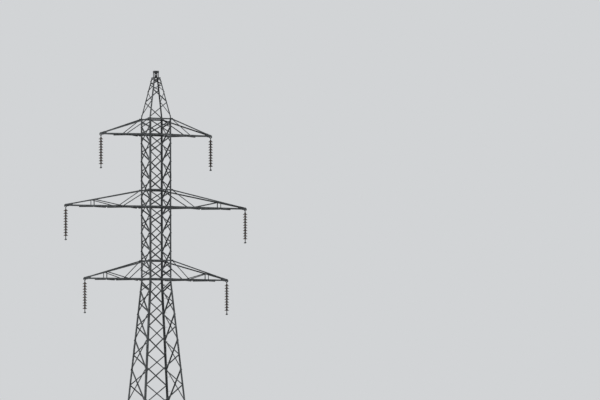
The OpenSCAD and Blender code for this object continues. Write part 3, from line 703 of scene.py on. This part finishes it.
def make_bolts():
    """One mesh of bolts for each region of the pylon."""
    bolt_piece("lower_body_bolts", lower_body_bolts())
    bolt_piece("cage_bolts", cage_bolts())
    bolt_piece("peak_bolts", peak_bolts())
    for arm in ARMS:
        right = arm_bolts(arm)
        bag = BoltBag()
        for change in (np.eye(3), MIRROR_X):
            bag.take(right.copied(change), (0, 0, LEVEL[arm]))
        bolt_piece(f"{arm}_arm_bolts", bag)


# Splice plates of the legs

def splice_plates():
    """Cover plates of one corner leg, two to a joint, with their bolts: an outline drawn in the
    flange, carried through the thickness, and set on the flange with its slope."""
    plates, bag = [], BoltBag()
    for z, length, flange, rows in SPLICES:
        k, leg_thick = (TAPER, LEG_T) if z < CAGE_Z0 else (0.0, CAGE_T)
        h = half_at(z)
        n = unit([0, -1, k])
        up = unit([k, k, 1.0])
        across = np.cross(up, n)
        across = across if across[0] > 0 else -across
        x, y, cut = (flange - SPLICE_MARGIN) / 2, length / 2, SPLICE_CUT
        corners = [(-x, cut - y), (cut - x, -y), (x - cut, -y), (x, cut - y),
                   (x, y - cut), (x - cut, y), (cut - x, y), (-x, y - cut)]
        middle = np.array([-h, -h, z]) + across * (flange / 2) + n * SEAT_GAP
        plate = moved(slab(corners, SPLICE_T), middle, [across, up, n])
        for change in (np.eye(3), SWAP_XY):
            plates.append(moved(plate, rows=change))
        front = BoltBag()
        for row in np.linspace(SPLICE_BOLT_END - y, y - SPLICE_BOLT_END, rows):
            for column in (-SPLICE_BOLT_X, SPLICE_BOLT_X):
                front.bolt(middle + up * row + across * column + n * SPLICE_T, n, SPLICE_T + leg_thick, M16)
        bag.take(front)
        bag.take(front.copied(SWAP_XY))
    return joined(plates), bag


def make_splices():
    """Splice plates and their bolts at all four corners."""
    plates, bolts = splice_plates()
    all_plates, bag = [], BoltBag()
    for change in (np.eye(3), MIRROR_X, MIRROR_Y, MIRROR_X @ MIRROR_Y):
        all_plates.append(moved(plates, rows=change))
        bag.take(bolts.copied(change))
    piece("leg_splice_plates", joined(all_plates), STEEL, "tower")
    bolt_piece("leg_splice_bolts", bag)


# Climbing pegs on the back right leg

PEG_R = 0.008
PEG_LENGTH = 0.15
PEG_FIRST_Z, PEG_PITCH = 3.2, 0.38
# The last peg stays this far under the peak, and each one this far off the splice plates
PEG_LAST, PEG_CLEAR = 0.3, 0.03
# Place of a peg in the flange, as a share of its width from the corner
PEG_SHARE = 0.28


def climbing_peg():
    """Round peg with a raised round head at its free end and a nut against the leg."""
    r, end = PEG_R, PEG_LENGTH
    peg = revolve([(r, -0.012), (r, end - 0.008), (r * 1.9, end - 0.007), (r * 1.9, end - 0.001),
                   (r * 1.5, end)], 10)
    nut = revolve([(M16, 0.0), (M16, 0.011), (0.012, 0.013)], 6)
    return joined([peg, nut])


def make_climbing_pegs():
    """Pegs at even steps up one leg, turn about on its two flanges."""
    steps = [z for z in np.arange(PEG_FIRST_Z, CAGE_Z1 - PEG_LAST, PEG_PITCH)
             if all(abs(z - at) > length / 2 + PEG_CLEAR for at, length, _, _ in SPLICES)]
    origins, normals = [], []
    for i, z in enumerate(steps):
        h = half_at(z)
        w, k = (LEG_W, TAPER) if z < CAGE_Z0 else (CAGE_W, 0.0)
        across = h - w * PEG_SHARE
        if i % 2 == 0:
            origins.append([h, across, z])
            normals.append(unit([1, 0, k]))
        else:
            origins.append([across, h, z])
            normals.append(unit([0, 1, k]))
    shape = repeated(climbing_peg(), origins, square_frames(np.array(normals)))
    piece("climbing_pegs", shape, BOLT_ZINC, "tower")


# Insulator strings

def disc_profile():
    """Section of one shell. Top: drop grows as the 1.3 power of the distance from the cap.
    Rim: a half round. Underside: the top less the wall, with ribs as raised cosines whose
    depth grows towards the pin."""
    bore, cap, rim = 0.02, 0.046, DISC_R - SHELL_RIM_R
    first_rib, rib_pitch = 0.044, 0.021
    seat = -0.001

    def drop(radius):
        return SHELL_DROP * np.clip((radius - cap) / (rim - cap), 0, 1) ** 1.3

    r = np.linspace(bore, rim, 16)
    turn = np.linspace(np.pi / 2, -np.pi / 2, 7)[1:-1]
    edge_r = rim + SHELL_RIM_R * np.cos(turn)
    edge_z = seat - SHELL_DROP - SHELL_RIM_R + SHELL_RIM_R * np.sin(turn)
    back = np.linspace(rim, bore, 25)
    depth = 0.022 - 0.01 * np.clip((back - cap) / (rim - cap), 0, 1)
    rib = np.clip(np.cos((back - first_rib) / rib_pitch * 2 * np.pi), 0, 1) ** 0.8 * depth
    rib *= (back > 0.03) & (back < rim - 0.006)
    under = seat - drop(back) - 2 * SHELL_RIM_R - rib
    heights = np.concatenate([seat - drop(r), edge_z, under])
    return np.column_stack([np.concatenate([r, edge_r, back]), heights])


def cap_profile():
    """Section of the iron cap: a lip, a straight skirt, a shoulder and the socket's neck."""
    return [(0.0502, -0.0005), (0.053, 0.004), (0.053, 0.011), (0.0485, 0.016), (0.047, 0.04),
            (0.043, 0.056), (0.034, 0.066), (0.0275, 0.07), (0.0262, 0.076), (0.0262, 0.084), (0.024, CAP_H)]


def pin_profile():
    """Section of the pin: the ball's collar, the shank, and the cement cone under the shell."""
    foot = -DISC_PITCH + CAP_H
    return [(0.0105, foot - 0.004), (0.0105, foot + 0.012), (0.009, foot + 0.016), (0.009, -0.036),
            (0.013, -0.034), (0.017, -0.022)]


def clamp_shape(length, wire_r, body_r):
    """Boat clamp along Y: a hollow body whose outer radius swells as a cosine to the middle and
    whose bore flares as the 6th power towards its ends, a keeper over it, and two U bolts."""
    half, wall, flare = length / 2, 0.0055, 0.003
    y = np.linspace(-half, half, 17)
    swell = 0.5 + 0.5 * np.cos(y / half * np.pi)
    outer = wire_r + wall + (body_r - wire_r - wall) * swell
    inner = wire_r + flare * (np.abs(y) / half) ** 6
    loop = np.column_stack([np.concatenate([outer, inner[::-1]]), np.concatenate([y, y[::-1]])])
    parts = [moved(revolve(loop, 20, loop=True), rows=[[1, 0, 0], [0, 0, -1], [0, 1, 0]])]
    x, wide, y = 0.62 * body_r, 0.72 * body_r, 0.3 * half
    keeper = slab([(-x, -y), (x, -y), (wide, 0), (x, y), (-x, y), (-wide, 0)], 0.55 * body_r, 0.003)
    parts.append(moved(keeper, (0, 0, x)))
    u = np.linspace(-np.pi, 0, 13)
    bow, leg_top = 0.86 * body_r, 1.25 * body_r
    for where in (-0.2 * length, 0.2 * length):
        bend = np.column_stack([bow * np.cos(u), np.full(13, where), bow * np.sin(u)])
        path = np.concatenate([[[-bow, where, leg_top]], bend, [[bow, where, leg_top]]])
        parts.append(sweep(path, 0.005, 8))
    return joined(parts)


def swing_eye(radius):
    """Eye that swings on a pin: a ring section with eased edges, carried round the Y axis."""
    bore, flat = 0.0112, radius - 0.004
    ring = revolve([(bore, -0.008), (flat, -0.008), (radius, -0.005), (radius, 0.005), (flat, 0.008),
                    (bore, 0.008)], 32, loop=True)
    return moved(ring, rows=[[1, 0, 0], [0, 0, 1], [0, 1, 0]])


def strap_pair(top, low):
    """Two flat straps side by side that carry a clamp, with a bolt at each end."""
    half, thick, apart, bolt_r = 0.02, 0.006, 0.011, 0.0105
    strap = slab([(-half, low), (half, low), (half, top - 0.016), (0.012, top), (-0.012, top),
                  (-half, top - 0.016)], thick)
    outer = apart + thick / 2
    parts = [moved(strap, (0, middle + thick / 2, 0), [[1, 0, 0], [0, 0, 1], [0, -1, 0]])
             for middle in (-apart, apart)]
    bag = BoltBag()
    for z in (top - 0.015, low + 0.016):
        bag.bolt([0, -outer, z], [0, -1, 0], 2 * outer, bolt_r)
    return parts + [bag.shape()]


def string_shapes():
    """Shells, iron caps with pins, and cement collars of one string, from its pin down."""
    shell = revolve(disc_profile(), 40, loop=True)
    cap = revolve(cap_profile(), 24)
    pin = revolve(pin_profile(), 12)
    collar = revolve([(0.0475, -0.0015), (0.0545, -0.0015), (0.0545, 0.0012), (0.0475, 0.0012)], 24,
                     loop=True)
    heights = -DISC_TOP - DISC_PITCH * np.arange(DISC_N)
    origins = np.column_stack([np.zeros(DISC_N), np.zeros(DISC_N), heights])
    upright = np.repeat(np.eye(3)[None], DISC_N, 0)
    shells = repeated(shell, origins, upright)
    iron = [repeated(cap, origins, upright), repeated(pin, origins, upright)]
    collars = repeated(collar, origins, upright)
    # ball link from the hanger's pin to the first cap
    top = -DISC_TOP + CAP_H
    iron.append(swing_eye(EYE_R))
    iron.append(revolve([(0.0125, top - 0.004), (0.0125, top + 0.006), (0.009, top + 0.01), (0.009, -0.034),
                         (0.0115, -0.022)], 16))
    # socket under the last pin, strap and clamp
    foot = heights[-1] - DISC_PITCH + CAP_H
    iron.append(revolve([(0.014, foot - 0.042), (0.024, foot - 0.036), (0.0265, foot - 0.02),
                         (0.0265, foot - 0.004), (0.02, foot + 0.002)], 20))
    iron += strap_pair(foot - 0.034, -WIRE_DROP + 0.03)
    iron.append(moved(clamp_shape(CLAMP_LENGTH, WIRE_R, CLAMP_R), (0, 0, -WIRE_DROP)))
    return shells, joined(iron), collars


def make_strings():
    """The six strings, each in place of its plain solids."""
    shells, iron, collars = string_shapes()
    for arm in ARMS:
        for side, hand in ((-1, "left"), (1, "right")):
            name = f"{arm}_{hand}"
            pin = (side * REACH[arm], 0, LEVEL[arm] - HANG_DROP)
            body = f"{name}_string"
            made = piece(f"{name}_shells", moved(shells, pin), PORCELAIN, body, 60)
            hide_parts(f"{name}_discs")
            made = piece(f"{name}_iron", moved(iron, pin), IRON, body, 40)
            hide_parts(f"{name}_string_fittings")
            piece(f"{name}_cement", moved(collars, pin), CEMENT, body, 40)


def make_earth_clamp():
    """Earth wire clamp in the cap, in place of its plain solid: eye, forged link, straps, clamp."""
    link_low = -EARTH_DROP + 0.062
    clamp = clamp_shape(EARTH_LENGTH, EARTH_WIRE_R, EARTH_R)
    parts = [swing_eye(EARTH_R), moved(clamp, (0, 0, -EARTH_DROP))]
    parts.append(revolve([(0.0075, link_low - 0.012), (0.008, link_low - 0.008), (0.008, link_low + 0.006),
                          (0.0072, link_low + 0.012), (0.0072, -0.034), (0.009, -0.021)], 16))
    parts += strap_pair(link_low + 0.004, -EARTH_DROP + 0.022)
    pin = (0, 0, TOTAL_H - EARTH_PIN_DOWN)
    made = piece("earth_clamp_iron", moved(joined(parts), pin), IRON, "earth_clamp", 40)
    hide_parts("earth_wire_clamp")


# Finishes of the steelwork that comes with the model

def dress_steelwork():
    """Gives every carried-over node its finish."""
    for name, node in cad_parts.items():
        node.data.materials.clear()
        node.data.materials.append(CONCRETE if name == "footings" else STEEL)


# Setting

BACKDROP = "#d2d4d6"
FLOOR_R = 900.0
# The floor's own surface shows up to here, and is gone over into the backdrop there
FLOOR_NEAR, FLOOR_FAR = 14.0, 70.0


def make_camera():
    """Camera at the photograph's place: bearing, height, pitch and roll, long lens."""
    data = bpy.data.cameras.new("photo view")
    data.sensor_width = SENSOR_MM
    data.lens = FOCAL_PX / PHOTO_WIDTH_PX * SENSOR_MM
    data.clip_start, data.clip_end = 1.0, 2000.0
    camera = bpy.data.objects.new("photo view", data)
    bpy.context.collection.objects.link(camera)
    camera.location = (-CAMERA_DISTANCE * math.sin(CAMERA_BEARING),
                       -CAMERA_DISTANCE * math.cos(CAMERA_BEARING), CAMERA_HEIGHT)
    look = CAMERA_BEARING + CAMERA_YAW
    ahead = np.array([math.sin(look) * math.cos(CAMERA_PITCH), math.cos(look) * math.cos(CAMERA_PITCH),
                      math.sin(CAMERA_PITCH)])
    right = np.array([math.cos(look), -math.sin(look), 0.0])
    up = np.cross(right, ahead)
    across = right * math.cos(CAMERA_ROLL) + up * math.sin(CAMERA_ROLL)
    over = up * math.cos(CAMERA_ROLL) - right * math.sin(CAMERA_ROLL)
    camera.rotation_euler = Matrix(np.column_stack([across, over, -ahead]).tolist()).to_euler()
    bpy.context.scene.camera = camera


def seen_directly(tree):
    """1 where the camera sees something straight on, in a gloss or through glass, and 0 where
    it only lights the object."""
    ray = add(tree, "ShaderNodeLightPath").outputs
    seen = add(tree, "ShaderNodeMath", [(0, ray["Is Camera Ray"]), (1, ray["Is Glossy Ray"])],
               operation="MAXIMUM")
    seen = add(tree, "ShaderNodeMath", [(0, seen.outputs[0]), (1, ray["Is Transmission Ray"])],
               operation="MAXIMUM")
    return seen.outputs[0]


def fading_floor():
    """Matt pale floor that goes over into the colour of the backdrop with distance, so that no
    horizon shows."""
    mat, tree, shader = new_material("pale floor")
    shader.inputs["Base Color"].default_value = linear("#c4c5c6")
    shader.inputs["Roughness"].default_value = 0.95
    place = add(tree, "ShaderNodeTexCoord").outputs["Object"]
    far = add(tree, "ShaderNodeVectorMath", [(0, place)], operation="LENGTH")
    fade = add(tree, "ShaderNodeMapRange", [("Value", far.outputs["Value"])],
               interpolation_type="SMOOTHSTEP", From_Min=FLOOR_NEAR, From_Max=FLOOR_FAR)
    faded = add(tree, "ShaderNodeMath", [(0, fade.outputs[0]), (1, seen_directly(tree))],
                operation="MULTIPLY")
    glow = add(tree, "ShaderNodeEmission", Color=linear(BACKDROP))
    mix = add(tree, "ShaderNodeMixShader", [(0, faded.outputs[0]), (1, shader.outputs[0]),
                                            (2, glow.outputs[0])])
    tree.links.new(mix.outputs[0], tree.nodes["Material Output"].inputs["Surface"])
    return mat


def make_setting():
    """Pale floor, pale backdrop, one broad sun and an even sky."""
    verts, faces = revolve([(FLOOR_R, -0.02), (FLOOR_R, -0.0005)], 64)
    mesh = bpy.data.meshes.new("floor")
    mesh.from_pydata(verts.tolist(), [], [tuple(f) for fs in faces for f in fs.tolist()])
    floor = bpy.data.objects.new("floor", mesh)
    bpy.context.collection.objects.link(floor)
    mesh.materials.append(fading_floor())
    world = bpy.data.worlds.new("sky")
    bpy.context.scene.world = world
    world.use_nodes = True
    tree = world.node_tree
    tree.nodes.clear()
    light = add(tree, "ShaderNodeBackground", Strength=0.5, Color=linear("#ebedf0"))
    backdrop = add(tree, "ShaderNodeBackground", Strength=1.0, Color=linear(BACKDROP))
    mix = add(tree, "ShaderNodeMixShader", [(0, seen_directly(tree)), (1, light.outputs[0]),
                                            (2, backdrop.outputs[0])])
    add(tree, "ShaderNodeOutputWorld", [("Surface", mix.outputs[0])])
    sun_data = bpy.data.lights.new("sun", "SUN")
    sun_data.energy = 3.4
    sun_data.angle = math.radians(9)
    sun = bpy.data.objects.new("sun", sun_data)
    bpy.context.collection.objects.link(sun)
    # as in the photograph, it stands to the left, so that the faces to the front stay darker
    sun.rotation_euler = (math.radians(50), 0, math.radians(-78))
    bpy.context.scene.view_settings.view_transform = "Standard"


dress_steelwork()
make_bolts()
make_splices()
make_climbing_pegs()
make_strings()
make_earth_clamp()
make_camera()
make_setting()
